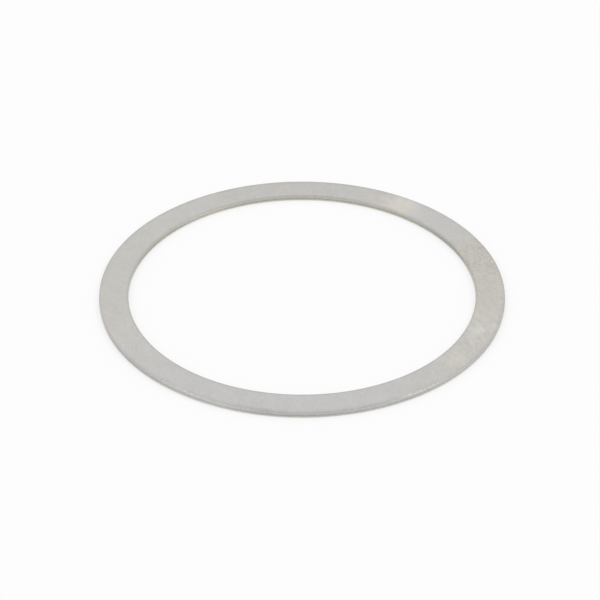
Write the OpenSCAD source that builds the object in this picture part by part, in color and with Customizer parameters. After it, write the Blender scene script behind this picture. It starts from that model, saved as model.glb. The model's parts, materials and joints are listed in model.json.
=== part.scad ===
// Adjusting shim: a thin flat ring, blanked and pierced in one stroke from steel strip.
// The ring lies on its broken side with its rolled edges up. +Z is the ring's axis,
// and the origin is the centre of its underside. All sizes are in millimetres.

/* [Ring] */
// Hole diameter, across the straight land of the hole
hole_d = 60; // [10:0.5:200]
// Width of the ring, from the land of the hole to the land of the rim
ring_w = 5; // [3:0.5:20]
// Thickness of the strip
sheet_t = 1; // [0.8:0.05:2]

/* [Rolled top edges] */
// Width of the band along the rim that the die has drawn down
rim_roll_w = 1.2; // [0.3:0.05:1.5]
// Height that the band and its corner take from the rim's wall
rim_roll_h = 0.14; // [0.11:0.01:0.2]
// Width of the band along the hole that the punch has drawn down
hole_roll_w = 0.8; // [0.3:0.05:1.2]
// Height that the band and its corner take from the hole's wall
hole_roll_h = 0.11; // [0.11:0.01:0.2]

/* [Sheared walls] */
// Height of the straight, burnished land of the rim
rim_land_h = 0.4; // [0.1:0.05:0.45]
// Height of the straight, burnished land of the hole
hole_land_h = 0.45; // [0.1:0.05:0.45]
// Distance that the broken stretch of a wall falls back from its land, set by the die clearance
break_lean = 0.08; // [0.02:0.01:0.1]

/* [Tumbling] */
// Radius that tumbling leaves on all four corners
tumbled_r = 0.06; // [0.02:0.01:0.1]

/* [Hidden] */

hole_r = hole_d / 2;
rim_r = hole_r + ring_w;

// Steps round the ring, across a rolled band and round a tumbled corner
ring_steps = 240;
band_steps = 8;
corner_steps = 5;

// One sheared edge from the top face down to the underside. The wall's land is at x = 0,
// and the steel lies on the side of negative x.
function sheared_edge(roll_w, roll_h, land_h) =
    let (
        band_r = band_radius(roll_w, roll_h),
        slope = asin((roll_w - tumbled_r) / (band_r - tumbled_r))
    )
    concat(
        arc([-roll_w, sheet_t - band_r], band_r, 90, 90 - slope, band_steps),
        arc([-tumbled_r, sheet_t - roll_h], tumbled_r, 90 - slope, 0, corner_steps),
        [[0, sheet_t - roll_h], [0, sheet_t - roll_h - land_h]],
        arc([-tumbled_r - break_lean, tumbled_r], tumbled_r, 0, -90, corner_steps),
        [[-tumbled_r - break_lean, 0]]
    );

// The band is an arc that leaves the top face level and runs into the corner's arc without a kink
function band_radius(w, h) = (w * w - 2 * w * tumbled_r + h * h) / (2 * (h - tumbled_r));

// An arc's points without the last, where the next stretch of the section starts
function arc(centre, r, from, to, steps) = [
    for (i = [0 : steps - 1])
        let (turn = from + (to - from) * i / steps)
            centre + r * [cos(turn), sin(turn)]
];

function reversed(points) = [for (i = [len(points) - 1 : -1 : 0]) points[i]];

// The section runs down the rim, in along the underside and up the wall of the hole
module ring_section() {
    rim = sheared_edge(rim_roll_w, rim_roll_h, rim_land_h);
    hole = sheared_edge(hole_roll_w, hole_roll_h, hole_land_h);
    polygon(concat(
        [for (p = rim) [rim_r + p.x, p.y]],
        [for (p = reversed(hole)) [hole_r - p.x, p.y]]
    ));
}

module shim_ring() {
    color("#c5c3be")
        rotate_extrude($fn = ring_steps)
            ring_section();
}

shim_ring();
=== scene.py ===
"""A thin steel shim ring, blanked from strip, lying on a white floor in soft light."""

import json
import math

import bpy
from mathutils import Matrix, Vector

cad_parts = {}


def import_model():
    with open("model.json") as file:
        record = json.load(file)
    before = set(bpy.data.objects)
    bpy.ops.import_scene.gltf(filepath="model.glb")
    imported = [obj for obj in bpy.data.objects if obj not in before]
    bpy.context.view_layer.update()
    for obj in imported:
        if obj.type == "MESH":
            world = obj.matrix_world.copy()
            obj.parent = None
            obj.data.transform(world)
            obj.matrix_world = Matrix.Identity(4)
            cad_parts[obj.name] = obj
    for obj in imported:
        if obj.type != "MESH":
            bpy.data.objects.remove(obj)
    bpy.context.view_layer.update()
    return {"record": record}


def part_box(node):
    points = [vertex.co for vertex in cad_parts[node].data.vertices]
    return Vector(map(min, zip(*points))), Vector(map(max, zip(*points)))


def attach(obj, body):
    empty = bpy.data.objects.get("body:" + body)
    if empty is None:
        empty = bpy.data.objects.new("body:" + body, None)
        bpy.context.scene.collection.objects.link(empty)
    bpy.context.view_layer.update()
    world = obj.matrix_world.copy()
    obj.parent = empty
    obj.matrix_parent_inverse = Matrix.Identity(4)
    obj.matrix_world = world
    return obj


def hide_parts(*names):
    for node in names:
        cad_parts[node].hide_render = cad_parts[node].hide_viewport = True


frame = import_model()

# A millimetre in the frame's metres
MM = 0.001
NODE = "shim_ring"

# Sizes that the frame states
mounts = {mount["name"]: mount for mount in frame["record"]["mounts"]}
SHEET_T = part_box(NODE)[1].z


def land_of(name):
    """The radius, top and foot of the straight land of a wall."""
    mount = mounts[name]
    half = mount["dims"]["length_mm"] * MM / 2
    middle = mount["pos_m"][2]
    return mount["dims"]["r_mm"] * MM, middle + half, middle - half


HOLE_R, HOLE_LAND_TOP, HOLE_LAND_FOOT = land_of("bore")
RIM_R, RIM_LAND_TOP, RIM_LAND_FOOT = land_of("rim")

# Sizes of the sheared edges that no mount states, as they are in the solid
RIM_ROLL_W = 1.2 * MM
HOLE_ROLL_W = 0.8 * MM
BREAK_LEAN = 0.08 * MM
TUMBLED_R = 0.06 * MM

# How finely the ring is drawn. Points within a hair of each other are merged, and an edge that turns by
# less than the soft edge is shaded smooth
QUARTER_STEPS = 400
BAND_STEPS = 7
CORNER_STEPS = 4
LAND_STEPS = 3
BREAK_STEPS = 6
FACE_STEPS = 3
HAIR = 0.001 * MM
SOFT_EDGE = math.radians(30)


def arc(centre, radius, start, end, steps):
    """Stations along an arc between two angles in degrees, without the last."""
    turns = [math.radians(start + (end - start) * step / steps) for step in range(steps)]
    return [(centre[0] + radius * math.cos(turn), centre[1] + radius * math.sin(turn)) for turn in turns]


def straight(start, end, steps):
    """Stations along a straight stretch, without the last."""
    shares = [step / steps for step in range(steps)]
    return [(start[0] + (end[0] - start[0]) * s, start[1] + (end[1] - start[1]) * s) for s in shares]


def sheared_edge(roll_w, land_top, land_foot):
    """Stations from the top face down to the underside, as the distance outside the land and the height."""
    drop = SHEET_T - land_top
    band_r = (roll_w ** 2 - 2 * roll_w * TUMBLED_R + drop ** 2) / (2 * (drop - TUMBLED_R))
    slope = math.degrees(math.asin((roll_w - TUMBLED_R) / (band_r - TUMBLED_R)))
    foot = (-BREAK_LEAN, TUMBLED_R)
    return (
        arc((-roll_w, SHEET_T - band_r), band_r, 90, 90 - slope, BAND_STEPS)
        + arc((-TUMBLED_R, land_top), TUMBLED_R, 90 - slope, 0, CORNER_STEPS)
        + straight((0.0, land_top), (0.0, land_foot), LAND_STEPS)
        + straight((0.0, land_foot), foot, BREAK_STEPS)
        + arc((foot[0] - TUMBLED_R, TUMBLED_R), TUMBLED_R, 0, -90, CORNER_STEPS)
    )


def section():
    """The ring's closed section as points of radius and height."""
    rim = [(RIM_R + x, z) for x, z in sheared_edge(RIM_ROLL_W, RIM_LAND_TOP, RIM_LAND_FOOT)]
    hole = [(HOLE_R - x, z) for x, z in sheared_edge(HOLE_ROLL_W, HOLE_LAND_TOP, HOLE_LAND_FOOT)]
    inset = BREAK_LEAN + TUMBLED_R
    underside = straight((RIM_R - inset, 0.0), (HOLE_R + inset, 0.0), FACE_STEPS)
    top = straight(hole[0], rim[0], FACE_STEPS)[1:]
    return rim + underside + [(HOLE_R + inset, 0.0)] + hole[::-1] + top


def smooth_ring():
    """The section is drawn by extruding one point from station to station, and then spun and mirrored."""
    bpy.ops.object.select_all(action="DESELECT")
    points = section()
    here = Vector((points[0][0], 0.0, points[0][1]))
    bpy.ops.mesh.primitive_plane_add(size=SHEET_T, location=(0, 0, 0))
    ring = bpy.context.object
    ring.name = "tumbled_ring"
    bpy.ops.object.mode_set(mode="EDIT")
    bpy.ops.mesh.merge(type="CENTER")
    bpy.ops.transform.translate(value=here)
    for radius, height in points[1:]:
        there = Vector((radius, 0.0, height))
        bpy.ops.mesh.extrude_region_move(TRANSFORM_OT_translate={"value": there - here})
        here = there
    bpy.ops.mesh.select_all(action="SELECT")
    bpy.ops.mesh.edge_face_add()
    bpy.ops.mesh.delete(type="ONLY_FACE")
    bpy.ops.mesh.select_all(action="SELECT")
    bpy.ops.mesh.spin(steps=QUARTER_STEPS, angle=math.pi / 2, center=(0, 0, 0), axis=(0, 0, 1))
    bpy.ops.object.mode_set(mode="OBJECT")
    bpy.ops.object.transform_apply(location=True, rotation=True, scale=True)
    quarters = ring.modifiers.new("other_quarters", "MIRROR")
    quarters.use_axis = (True, True, False)
    quarters.merge_threshold = HAIR
    bpy.ops.object.modifier_apply(modifier=quarters.name)
    bpy.ops.object.mode_set(mode="EDIT")
    bpy.ops.mesh.select_all(action="SELECT")
    bpy.ops.mesh.remove_doubles(threshold=HAIR)
    bpy.ops.mesh.normals_make_consistent(inside=False)
    bpy.ops.object.mode_set(mode="OBJECT")
    bpy.ops.object.shade_smooth_by_angle(angle=SOFT_EDGE)
    return ring


# The grain of the two broken walls
BREAK_GRAIN_SIZE = 0.25 * MM
BREAK_GRAIN_DEPTH = 0.05 * MM

# The dents of the rim's rolled corner all the way round, and the nicks where it was knocked hardest,
# from one ring angle to another. Ring angles are in degrees from +X, anticlockwise seen from above
DENT_SIZE = 0.5 * MM
DENT_DEPTH = 0.03 * MM
DENTED_W = 0.25 * MM
NICK_SIZE = 0.35 * MM
NICK_DEPTH = 0.05 * MM
NICKED_W = 0.45 * MM
KNOCKED = ((228, 262), (288, 314))


def roughen(ring, name, belongs, size, depth):
    """Pushes the points that belong inwards by a cloudy pattern, so that none stands proud of the solid."""
    group = ring.vertex_groups.new(name=name)
    group.add([point.index for point in ring.data.vertices if belongs(point.co)], 1.0, "REPLACE")
    pattern = bpy.data.textures.new(name, "CLOUDS")
    pattern.noise_scale = size
    pattern.noise_depth = 1
    pattern.noise_basis = "ORIGINAL_PERLIN"
    push = ring.modifiers.new(name, "DISPLACE")
    push.texture = pattern
    push.texture_coords = "LOCAL"
    push.vertex_group = name
    push.mid_level = 0.0
    push.strength = -depth
    bpy.context.view_layer.objects.active = ring
    bpy.ops.object.modifier_apply(modifier=push.name)


def in_broken_wall(point):
    """True on the broken stretch of either wall, short of the land above it and the corner below it."""
    radius = math.hypot(point.x, point.y)
    on_rim = radius > RIM_R - BREAK_LEAN - HAIR and point.z < RIM_LAND_FOOT - HAIR
    on_hole = radius < HOLE_R + BREAK_LEAN + HAIR and point.z < HOLE_LAND_FOOT - HAIR
    return (on_rim or on_hole) and point.z > TUMBLED_R - HAIR


def in_rolled_corner(point):
    """True where the rim's rolled band turns down into the wall."""
    return math.hypot(point.x, point.y) > RIM_R - DENTED_W and point.z > RIM_LAND_TOP - HAIR


def in_knocked_corner(point):
    """True on the outer part of the rim's rolled band, where it was knocked."""
    angle = math.degrees(math.atan2(point.y, point.x)) % 360
    on_band = math.hypot(point.x, point.y) > RIM_R - NICKED_W and point.z > RIM_LAND_TOP - HAIR
    return on_band and any(start < angle < end for start, end in KNOCKED)


def srgb(hex_value):
    """An sRGB hex colour as linear red, green, blue and alpha."""
    channels = [int(hex_value[i:i + 2], 16) / 255 for i in (1, 3, 5)]
    linear = [c / 12.92 if c <= 0.04045 else ((c + 0.055) / 1.055) ** 2.4 for c in channels]
    return (*linear, 1.0)


def new_material(name):
    """A material with an empty node tree."""
    material = bpy.data.materials.new(name)
    material.use_nodes = True
    material.node_tree.nodes.clear()
    return material


def add(tree, kind, settings=None, links=None):
    """Adds a node with its settings and links. A setting is a property, or an input socket by name or
    number. A link comes from a socket, or from a node, which gives its first output."""
    node = tree.nodes.new(kind)
    for key, value in (settings or {}).items():
        if isinstance(key, str) and hasattr(node, key):
            setattr(node, key, value)
        else:
            node.inputs[key].default_value = value
    for key, source in (links or {}).items():
        socket = source.outputs[0] if isinstance(source, bpy.types.Node) else source
        tree.links.new(socket, node.inputs[key])
    return node


def ring_radius(tree, place):
    """The distance of a place from the ring's axis."""
    flat = add(tree, "ShaderNodeVectorMath", {"operation": "MULTIPLY", 1: (1.0, 1.0, 0.0)}, {0: place})
    return add(tree, "ShaderNodeVectorMath", {"operation": "LENGTH"}, {0: flat}).outputs["Value"]


def patches(tree, place, spots):
    """The sum of soft round patches, each given by its ring angle, reach and strength. A patch is
    strongest in the middle of the top face at its angle, and fades to nothing at its reach."""
    middle_r = (HOLE_R + RIM_R) / 2
    total = None
    for angle, reach, strength in spots:
        turn = math.radians(angle)
        middle = (middle_r * math.cos(turn), middle_r * math.sin(turn), SHEET_T)
        distance = add(tree, "ShaderNodeVectorMath", {"operation": "DISTANCE", 1: middle}, {0: place})
        fade = {"interpolation_type": "SMOOTHSTEP", "From Max": reach, "To Min": strength, "To Max": 0.0}
        patch = add(tree, "ShaderNodeMapRange", fade, {0: distance.outputs["Value"]})
        if total is None:
            total = patch
        else:
            total = add(tree, "ShaderNodeMath", {"operation": "ADD"}, {0: total, 1: patch})
    return total


def patches_in_band(tree, place, radius, start, end, spots):
    """Patches that show only in a band of the ring, from its start out to its end."""
    past_start = add(tree, "ShaderNodeMapRange", start, {0: radius})
    before_end = add(tree, "ShaderNodeMapRange", end, {0: radius})
    band = add(tree, "ShaderNodeMath", {"operation": "MULTIPLY"}, {0: past_start, 1: before_end})
    return add(tree, "ShaderNodeMath", {"operation": "MULTIPLY"}, {0: band, 1: patches(tree, place, spots)})


def laid_on(tree, shade, pattern, tones, where):
    """The shade with a pattern laid on it as strongly as a mask says. The tones say what it adds."""
    added = add(tree, "ShaderNodeMapRange", tones, {0: pattern})
    return add(tree, "ShaderNodeMath", {"operation": "MULTIPLY_ADD"}, {0: added, 1: where, 2: shade})


def bare_steel(tree, tint, shade, roughness, relief, depth):
    """Ends a steel's nodes, with its tint scaled by its shade, and its relief as deep as given."""
    colour = add(tree, "ShaderNodeVectorMath", {"operation": "SCALE"}, {0: tint, "Scale": shade})
    bump = add(tree, "ShaderNodeBump", {"Strength": 1.0, "Distance": depth}, {"Height": relief})
    shader = add(
        tree,
        "ShaderNodeBsdfPrincipled",
        {"Metallic": 1.0},
        {"Base Color": colour, "Roughness": roughness, "Normal": bump},
    )
    add(tree, "ShaderNodeOutputMaterial", links={"Surface": shader})


# Nearly all values of a noise lie within the wide range, and most lie within the narrow one
WIDE = {"From Min": 0.3, "From Max": 0.7}
NARROW = {"From Min": 0.35, "From Max": 0.65}

# The patterns of the tumbled faces. The speckle and the rolling lines are finer in life, and are drawn
# as coarse as they need to be to show
SPECKLE_SIZE = 0.28 * MM
CLOUD_SIZE = 3.0 * MM
ROLLING_LINE_W = 0.25 * MM
SCUFF_SIZE = 0.9 * MM
PIT_SIZE = 0.4 * MM
NICK_GLINT_SIZE = 0.32 * MM
CHIP_SIZE = 0.35 * MM
OIL_FILM_SIZE = 9.0 * MM
FACE_RELIEF = 0.004 * MM

# How the patterns with a direction are drawn out, and how the scuffs are turned
ALONG_STRIP = (1.0, 0.08, 1.0)
ALONG_SCUFF = (1.0, 0.45, 1.0)
SCUFF_SLANT = math.radians(-35)

# How light and dark each pattern makes the faces. Speckle and clouds scale the shade, and the others
# are added to it
SPECKLE_TONES = {**WIDE, "To Min": 0.96, "To Max": 1.04}
CLOUD_TONES = {**WIDE, "To Min": 0.948, "To Max": 1.052}
ROLLING_LINE_TONES = {**NARROW, "To Min": -0.03, "To Max": 0.03}
SCUFF_TONES = {**NARROW, "To Min": -0.085, "To Max": 0.085}
PIT_TONES = {"From Min": 0.35, "From Max": 0.7, "To Min": 0.09, "To Max": -0.18}
NICK_GLINT_TONES = {"From Min": 0.48, "From Max": 0.6, "To Min": 0.0, "To Max": 0.55}
CHIP_TONES = {**NARROW, "To Min": -0.4, "To Max": 0.4}

# Both edges of the face are darker, over the last few tenths of a millimetre
RIM_EDGE = {"From Min": RIM_R - 0.3 * MM, "From Max": RIM_R - 0.1 * MM, "To Min": 0.0, "To Max": -0.07}
HOLE_EDGE = {"From Min": HOLE_R + 0.1 * MM, "From Max": HOLE_R + 0.5 * MM, "To Min": -0.1, "To Max": 0.0}

# The places of the marks are given by ring angle, reach and strength. Some places are brighter and others
# darker, partly tone left by the tumbling and partly painted sheen and painted shade, and a film of oil is
# thicker in some and thinner in others
RUBBED_AND_SHEEN = (
    (56, 5.5 * MM, 0.17),
    (203, 9.0 * MM, 0.03),
    (322, 4.5 * MM, 0.07),
    (339, 6.5 * MM, 0.07),
    (5, 8.0 * MM, -0.01),
    (18, 10.0 * MM, -0.03),
    (92, 25.0 * MM, -0.035),
)
OILY = (
    (14, 20.0 * MM, 0.38),
    (56, 5.0 * MM, 0.35),
    (195, 14.0 * MM, 0.12),
    (206, 9.0 * MM, 0.22),
    (322, 5.0 * MM, 0.22),
    (342, 9.0 * MM, 0.32),
    (40, 10.0 * MM, -0.3),
    (255, 40.0 * MM, -0.7),
)

# Places where the rolling lines are stronger, and how strong they are everywhere else
STREAKED = ((203, 9.0 * MM, 1.0), (330, 12.0 * MM, 0.6))
LINES_ELSEWHERE = 0.5

# Places with slanting scuffs, and with small dark pits
SCUFFED = ((338, 8.0 * MM, 1.0), (322, 7.0 * MM, 0.7), (354, 8.0 * MM, 0.6), (62, 7.0 * MM, 0.4))
PITTED = ((14, 9.0 * MM, 0.75), (26, 7.0 * MM, 0.55))

# Places on the rim's rolled band where nicks carry painted glints, and the start and end of the band that
# they lie in
NICK_GLINTS = ((235, 8.0 * MM, 1.0), (254, 4.0 * MM, 1.0), (303, 8.0 * MM, 1.0))
GLINT_BAND_START = {"From Min": RIM_R - 0.4 * MM, "From Max": RIM_R - 0.3 * MM}
GLINT_BAND_END = {"From Min": RIM_R - 0.06 * MM, "From Max": RIM_R - 0.02 * MM, "To Min": 1.0, "To Max": 0.0}

# Places just inside the rim with chips, light beside dark, and the start and end of their band
CHIPPED = ((15, 4.0 * MM, 1.0), (5, 2.8 * MM, 2.0))
CHIPS_START = {"From Min": RIM_R - 0.9 * MM, "From Max": RIM_R - 0.8 * MM}
CHIPS_END = {"From Min": RIM_R - 0.3 * MM, "From Max": RIM_R - 0.2 * MM, "To Min": 1.0, "To Max": 0.0}

# Places where the rolled band is lighter with painted sheen or darker with painted shade, and where that
# sets in
BAND_SHEEN = ((240, 10.0 * MM, 0.06), (305, 11.0 * MM, 0.06), (346, 10.0 * MM, -0.035))
BAND_SHEEN_START = {"From Min": RIM_R - 0.7 * MM, "From Max": RIM_R - 0.4 * MM}

# The marks on the face have ragged edges, because they are laid out on a place that wanders. It wanders by
# a noise of this size, this far from one side to the other
WANDER_SIZE = 1.5 * MM
WANDER_REACH = 3.0 * MM

# Clean steel turns into oily steel where the film is thicker. The clouds change the roughness a little
STEEL_COLOUR = "#c5c4c2"
OILY_COLOUR = "#c7c3bb"
OILY_SHARE = {"From Min": 0.2, "From Max": 1.0}
FACE_ROUGHNESS = {**WIDE, "To Min": 0.31, "To Max": 0.39}


def wandering(tree, place):
    """The place, shifted along the face by a noise."""
    wander = add(tree, "ShaderNodeTexNoise", {"Scale": 1 / WANDER_SIZE, "Detail": 4.0}, {"Vector": place})
    subtract_half = {"operation": "SUBTRACT", 1: (0.5, 0.5, 0.5)}
    centred = add(tree, "ShaderNodeVectorMath", subtract_half, {0: wander.outputs["Color"]})
    shift = {"operation": "MULTIPLY_ADD", 1: (WANDER_REACH, WANDER_REACH, 0.0)}
    return add(tree, "ShaderNodeVectorMath", shift, {0: centred, 2: place})


def tumbled_strip():
    """Cold-rolled steel strip, tumbled after blanking: a matte warm grey, speckled by the stones,
    with faint rolling lines, cloudy where the tumbling has worked it more, and patches of painted sheen and
    shade."""
    material = new_material("tumbled_rolled_strip")
    tree = material.node_tree
    place = add(tree, "ShaderNodeTexCoord").outputs["Object"]
    ragged = wandering(tree, place)
    radius = ring_radius(tree, place)

    # The peened speckle of the tumbling stones and the clouds that they leave, and patches of their tone
    # with painted sheen and painted shade
    speckle = add(tree, "ShaderNodeTexNoise", {"Scale": 1 / SPECKLE_SIZE}, {"Vector": place})
    busy_clouds = {"Scale": 1 / CLOUD_SIZE, "Detail": 3.0, "Roughness": 0.68}
    clouds = add(tree, "ShaderNodeTexNoise", busy_clouds, {"Vector": place})
    speckled = add(tree, "ShaderNodeMapRange", SPECKLE_TONES, {0: speckle})
    cloudy = add(tree, "ShaderNodeMapRange", CLOUD_TONES, {0: clouds})
    shade = add(tree, "ShaderNodeMath", {"operation": "MULTIPLY"}, {0: speckled, 1: cloudy})
    shade = add(tree, "ShaderNodeMath", {"operation": "ADD"}, {0: shade, 1: patches(tree, ragged, RUBBED_AND_SHEEN)})

    # Rolling lines run along the strip, which here is the Y axis
    along = add(tree, "ShaderNodeMapping", {"Scale": ALONG_STRIP}, {"Vector": place})
    lines = add(tree, "ShaderNodeTexNoise", {"Scale": 1 / ROLLING_LINE_W}, {"Vector": along})
    streaked = patches(tree, ragged, STREAKED)
    lined = add(tree, "ShaderNodeMath", {"operation": "ADD", 1: LINES_ELSEWHERE}, {0: streaked})
    shade = laid_on(tree, shade, lines, ROLLING_LINE_TONES, lined)

    # Scuffs cross the lines at a slant
    slanted = add(tree, "ShaderNodeMapping", {"Rotation": (0.0, 0.0, SCUFF_SLANT)}, {"Vector": place})
    across = add(tree, "ShaderNodeMapping", {"Scale": ALONG_SCUFF}, {"Vector": slanted})
    scuffs = add(tree, "ShaderNodeTexNoise", {"Scale": 1 / SCUFF_SIZE, "Detail": 4.0}, {"Vector": across})
    shade = laid_on(tree, shade, scuffs, SCUFF_TONES, patches(tree, ragged, SCUFFED))

    # Pits on the face, painted sheen on the rolled band, nicks with painted glints, and chips along the rim
    pits = add(tree, "ShaderNodeTexNoise", {"Scale": 1 / PIT_SIZE}, {"Vector": place})
    nicks = add(tree, "ShaderNodeTexNoise", {"Scale": 1 / NICK_GLINT_SIZE}, {"Vector": place})
    chips = add(tree, "ShaderNodeTexNoise", {"Scale": 1 / CHIP_SIZE}, {"Vector": place})
    glinting_nicks = patches_in_band(tree, place, radius, GLINT_BAND_START, GLINT_BAND_END, NICK_GLINTS)
    chipped = patches_in_band(tree, place, radius, CHIPS_START, CHIPS_END, CHIPPED)
    shade = laid_on(tree, shade, pits, PIT_TONES, patches(tree, ragged, PITTED))
    shade = laid_on(tree, shade, radius, BAND_SHEEN_START, patches(tree, place, BAND_SHEEN))
    shade = laid_on(tree, shade, nicks, NICK_GLINT_TONES, glinting_nicks)
    shade = laid_on(tree, shade, chips, CHIP_TONES, chipped)
    for edge in (RIM_EDGE, HOLE_EDGE):
        darker = add(tree, "ShaderNodeMapRange", edge, {0: radius})
        shade = add(tree, "ShaderNodeMath", {"operation": "ADD"}, {0: shade, 1: darker})

    # A thin film of oil makes it warmer in places
    film = add(tree, "ShaderNodeTexNoise", {"Scale": 1 / OIL_FILM_SIZE}, {"Vector": place})
    film = add(tree, "ShaderNodeMath", {"operation": "ADD"}, {0: film, 1: patches(tree, ragged, OILY)})
    oily = add(tree, "ShaderNodeMapRange", OILY_SHARE, {0: film})
    tints = {"data_type": "RGBA", 6: srgb(STEEL_COLOUR), 7: srgb(OILY_COLOUR)}
    tint = add(tree, "ShaderNodeMix", tints, {0: oily}).outputs[2]

    roughness = add(tree, "ShaderNodeMapRange", FACE_ROUGHNESS, {0: clouds})
    relief = add(tree, "ShaderNodeMath", {"operation": "ADD"}, {0: lines, 1: speckle})
    bare_steel(tree, tint, shade, roughness, relief, FACE_RELIEF)
    return material


# The patterns of the sheared walls. All but the torn grain are drawn out upright. The grain is finer in
# life, and is drawn as coarse as it needs to be to show
UPRIGHT = (1.0, 1.0, 0.05)
STREAK_W = 0.2 * MM
TORN_GRAIN_SIZE = 0.15 * MM
RAG_SIZE = 0.9 * MM
STEP_SHADE_SIZE = 0.5 * MM
WALL_RELIEF = 0.006 * MM

# How far the lower edge of the land goes up and down, half the height over which the land turns into the
# break, and half the height of the painted shade between them
RAG_SHIFT = {**WIDE, "To Min": -0.1 * MM, "To Max": 0.1 * MM}
LAND_FADE = 0.05 * MM
STEP_SHADE_REACH = 0.13 * MM

# How light and dark each pattern makes a wall. Streaks, grain and the foot scale the shade, and the
# painted shade along the ragged line and in the corner under the foot is added to it
STREAK_TONES = {**WIDE, "To Min": 0.94, "To Max": 1.06}
TORN_GRAIN_TONES = {**NARROW, "To Min": 0.87, "To Max": 1.13}
FOOT_TONES = {"From Min": 0.1 * MM, "From Max": 0.35 * MM, "To Min": 1.38, "To Max": 1.0}
STEP_SHADE_TONES = {**WIDE, "To Min": -0.8, "To Max": -0.2}
CORNER_SHADE_TONES = {"From Min": 0.02 * MM, "From Max": 0.07 * MM, "To Min": -0.4, "To Max": 0.0}

# The relief of the torn grain is three times as deep as that of the streaks, about the same middle, and
# the roughness goes from that of the break to that of the land
TORN_RELIEF = {"To Min": -1.0, "To Max": 2.0}
WALL_ROUGHNESS = {"To Min": 0.55, "To Max": 0.32}

# The finish of each wall. Its land runs deeper in places, or less deep where the depth is negative, each by
# its ring angle, reach and depth. Painted light brightens it in other places and painted shade darkens it,
# each by its ring angle, reach and strength
RIM_WALL = {
    "land_foot": RIM_LAND_FOOT,
    "deeper": ((232, 14.0 * MM, -0.15 * MM), (316, 16.0 * MM, -0.15 * MM)),
    "rubbed": (
        (235, 14.0 * MM, 0.18),
        (314, 18.0 * MM, 0.2),
        (328, 10.0 * MM, 0.03),
        (250, 8.0 * MM, 0.12),
        (289, 9.0 * MM, 0.1),
    ),
    "break_colour": "#bdbbb6",
    "land_colour": "#bdbbb7",
}
HOLE_WALL = {
    "land_foot": HOLE_LAND_FOOT,
    "deeper": ((127, 8.0 * MM, 0.16 * MM), (170, 10.0 * MM, 0.16 * MM)),
    "rubbed": ((126, 9.0 * MM, 0.18), (157, 9.0 * MM, -0.12), (28, 11.0 * MM, -0.18)),
    "break_colour": "#bcbaaf",
    "land_colour": "#bcbab1",
}


def sheared_wall(name, land_foot, deeper, rubbed, break_colour, land_colour):
    """The wall that the die cut: a burnished land with upright streaks, and below its ragged edge the dull,
    torn grain of the break, which is lighter towards its foot."""
    material = new_material(name)
    tree = material.node_tree
    place = add(tree, "ShaderNodeTexCoord").outputs["Object"]
    height = add(tree, "ShaderNodeSeparateXYZ", links={0: place}).outputs["Z"]
    upright = add(tree, "ShaderNodeMapping", {"Scale": UPRIGHT}, {"Vector": place})
    streaks = add(tree, "ShaderNodeTexNoise", {"Scale": 1 / STREAK_W}, {"Vector": upright})
    grain = add(tree, "ShaderNodeTexNoise", {"Scale": 1 / TORN_GRAIN_SIZE, "Detail": 3.0}, {"Vector": place})

    # The land ends along a ragged line, where the height, shifted by a noise, is the foot of the land
    rag = add(tree, "ShaderNodeTexNoise", {"Scale": 1 / RAG_SIZE, "Detail": 3.0}, {"Vector": upright})
    shift = add(tree, "ShaderNodeMapRange", RAG_SHIFT, {0: rag})
    level = add(tree, "ShaderNodeMath", {"operation": "ADD"}, {0: height, 1: shift})
    level = add(tree, "ShaderNodeMath", {"operation": "ADD"}, {0: level, 1: patches(tree, place, deeper)})
    land_fade = {"From Min": land_foot - LAND_FADE, "From Max": land_foot + LAND_FADE}
    land = add(tree, "ShaderNodeMapRange", land_fade, {0: level})

    # Streaks run down the land, and the break is grainy and lighter at its foot
    torn_tones = add(tree, "ShaderNodeMapRange", TORN_GRAIN_TONES, {0: grain})
    land_tones = add(tree, "ShaderNodeMapRange", STREAK_TONES, {0: streaks})
    marks = add(tree, "ShaderNodeMix", {"data_type": "FLOAT"}, {0: land, 2: torn_tones, 3: land_tones})
    foot = add(tree, "ShaderNodeMapRange", FOOT_TONES, {0: height})
    shade = add(tree, "ShaderNodeMath", {"operation": "MULTIPLY"}, {0: marks, 1: foot})
    # Painted light and painted shade in patches along the wall
    shade = add(tree, "ShaderNodeMath", {"operation": "ADD"}, {0: shade, 1: patches(tree, place, rubbed)})

    # Painted shade lies along the ragged line, where the torn steel starts, more in some places than in
    # others, and in the corner at the foot. Its mask is 0.5 on the line and fades to nothing on both sides
    across = {"From Min": land_foot - STEP_SHADE_REACH, "From Max": land_foot + STEP_SHADE_REACH}
    across_line = add(tree, "ShaderNodeMapRange", across, {0: level})
    on_line = add(tree, "ShaderNodeMath", {"operation": "PINGPONG", 1: 0.5}, {0: across_line})
    step_shade = add(tree, "ShaderNodeTexNoise", {"Scale": 1 / STEP_SHADE_SIZE}, {"Vector": upright})
    shade = laid_on(tree, shade, step_shade, STEP_SHADE_TONES, on_line)
    corner = add(tree, "ShaderNodeMapRange", CORNER_SHADE_TONES, {0: height})
    shade = add(tree, "ShaderNodeMath", {"operation": "ADD"}, {0: shade, 1: corner})

    tints = {"data_type": "RGBA", 6: srgb(break_colour), 7: srgb(land_colour)}
    tint = add(tree, "ShaderNodeMix", tints, {0: land}).outputs[2]
    roughness = add(tree, "ShaderNodeMapRange", WALL_ROUGHNESS, {0: land})
    torn_relief = add(tree, "ShaderNodeMapRange", TORN_RELIEF, {0: grain})
    relief = add(tree, "ShaderNodeMix", {"data_type": "FLOAT"}, {0: land, 2: torn_relief, 3: streaks})
    bare_steel(tree, tint, shade, roughness, relief, WALL_RELIEF)
    return material


# How far behind its land a wall's finish reaches
WALL_DEPTH = 1.5 * BREAK_LEAN


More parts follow.
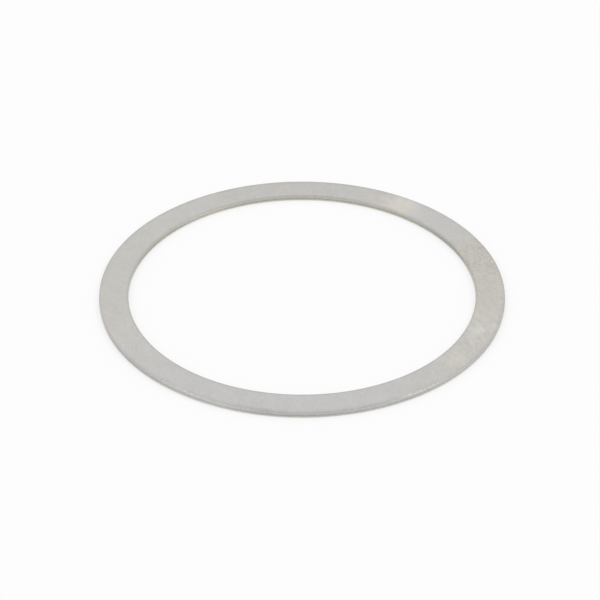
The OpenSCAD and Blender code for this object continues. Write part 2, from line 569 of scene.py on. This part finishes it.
def finish_ring(ring):
    """Gives the faces and each wall its own finish."""
    finishes = [
        tumbled_strip(),
        sheared_wall("sheared_rim_wall", **RIM_WALL),
        sheared_wall("sheared_hole_wall", **HOLE_WALL),
    ]
    for finish in finishes:
        ring.data.materials.append(finish)
    rim_finish = 1
    hole_finish = 2
    for face in ring.data.polygons:
        radius = math.hypot(face.center.x, face.center.y)
        if radius > RIM_R - WALL_DEPTH and face.center.z < RIM_LAND_TOP:
            face.material_index = rim_finish
        if radius < HOLE_R + WALL_DEPTH and face.center.z < HOLE_LAND_TOP:
            face.material_index = hole_finish


# White to the camera, with a share left to the light, so that the ring's shadow shows on it
FLOOR_SIZE = 4.0
FLOOR_COLOUR = "#ffffff"
FLOOR_GLOW = 0.65

# The crevice where the ring meets the paper gets a painted contact shadow, darker than the soft light alone
# makes it. It reaches this far, and the floor glows by this much where half of the sky over it or more is
# hidden
CREVICE_W = 0.3 * MM
CREVICE_GLOW = 0.72


def matte_white_paper():
    """Matte white paper. A share of it is plain white to the camera and in the steel, which keeps the
    shadow light."""
    material = new_material("matte_white_paper")
    tree = material.node_tree
    paper = add(tree, "ShaderNodeBsdfDiffuse", {"Color": srgb(FLOOR_COLOUR)})
    # Painted contact shadow: the glow dims where the ring hides the sky close by
    open_sky = add(tree, "ShaderNodeAmbientOcclusion", {"samples": 4, "Distance": CREVICE_W}).outputs["AO"]
    strength = add(tree, "ShaderNodeMapRange", {"From Min": 0.5, "To Min": CREVICE_GLOW}, {0: open_sky})
    glow = add(tree, "ShaderNodeEmission", {"Color": srgb(FLOOR_COLOUR)}, {"Strength": strength})
    rays = add(tree, "ShaderNodeLightPath").outputs
    seen = rays["Is Camera Ray"]
    for ray in ("Is Glossy Ray", "Is Transmission Ray"):
        seen = add(tree, "ShaderNodeMath", {"operation": "MAXIMUM"}, {0: seen, 1: rays[ray]})
    share = add(tree, "ShaderNodeMath", {"operation": "MULTIPLY", 1: FLOOR_GLOW}, {0: seen})
    mix = add(tree, "ShaderNodeMixShader", links={0: share, 1: paper, 2: glow})
    add(tree, "ShaderNodeOutputMaterial", links={"Surface": mix})
    return material


def floor():
    """The white paper that the ring lies on."""
    bpy.ops.object.select_all(action="DESELECT")
    bpy.ops.mesh.primitive_plane_add(size=FLOOR_SIZE, location=(0, 0, 0))
    ground = bpy.context.object
    ground.name = "floor"
    ground.data.materials.append(matte_white_paper())


# The camera stands where the outlines of the photographed ring put it, and looks along +Y. Blender takes
# the sensor and the lens in millimetres
CAMERA_DISTANCE = 433.5 * MM
CAMERA_ELEVATION = math.radians(34.86)
AIM = Vector((-0.353, -1.791, 0.0)) * MM
SENSOR_W = 36.0
LENS = 150.32
NEAREST = 10.0 * MM


def camera():
    """A camera that sees the ring as the photograph does."""
    back = Vector((0, -math.cos(CAMERA_ELEVATION), math.sin(CAMERA_ELEVATION)))
    place = back * CAMERA_DISTANCE
    data = bpy.data.cameras.new("camera")
    data.sensor_width = SENSOR_W
    data.lens = LENS
    data.clip_start = NEAREST
    viewer = bpy.data.objects.new("camera", data)
    viewer.location = place
    viewer.rotation_euler = (AIM - place).to_track_quat("-Z", "Y").to_euler()
    bpy.context.scene.collection.objects.link(viewer)
    bpy.context.scene.camera = viewer


def softbox(name, direction, distance, width, height, glow):
    """A softbox that faces the ring. Glow is what it adds to the world's brightness, where 1 is white."""
    bpy.ops.object.light_add(type="AREA", location=Vector(direction).normalized() * distance)
    lamp = bpy.context.object
    lamp.name = name
    lamp.data.shape = "RECTANGLE"
    lamp.data.size = width
    lamp.data.size_y = height
    lamp.data.energy = glow * math.pi * width * height
    lamp.visible_camera = False
    lamp.rotation_euler = (-lamp.location).to_track_quat("-Z", "Y").to_euler()


# The soft light from all sides, where 1 is white
STUDIO_GLOW = 0.81


def world():
    """An even, white studio all round."""
    studio = bpy.data.worlds.new("studio")
    bpy.context.scene.world = studio
    studio.use_nodes = True
    tree = studio.node_tree
    tree.nodes.clear()
    sky = add(tree, "ShaderNodeBackground", {"Color": (1, 1, 1, 1), "Strength": STUDIO_GLOW})
    add(tree, "ShaderNodeOutputWorld", links={"Surface": sky})


ring = smooth_ring()
roughen(ring, "torn_break", in_broken_wall, BREAK_GRAIN_SIZE, BREAK_GRAIN_DEPTH)
roughen(ring, "corner_dents", in_rolled_corner, DENT_SIZE, DENT_DEPTH)
roughen(ring, "knocked_nicks", in_knocked_corner, NICK_SIZE, NICK_DEPTH)
finish_ring(ring)
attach(ring, "root")
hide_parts(NODE)

floor()
world()
softbox("back_softbox", (0.0, 0.79, 0.61), distance=1.5, width=1.3, height=0.75, glow=0.25)
softbox("right_softbox", (0.62, 0.05, 0.78), distance=1.2, width=0.5, height=0.5, glow=1.8)
softbox("left_softbox", (-0.62, 0.05, 0.78), distance=1.2, width=0.3, height=0.3, glow=1.5)
softbox("front_softbox", (-0.60, -0.55, 0.58), distance=1.2, width=0.6, height=0.6, glow=0.65)
camera()
bpy.context.scene.view_settings.view_transform = "Standard"
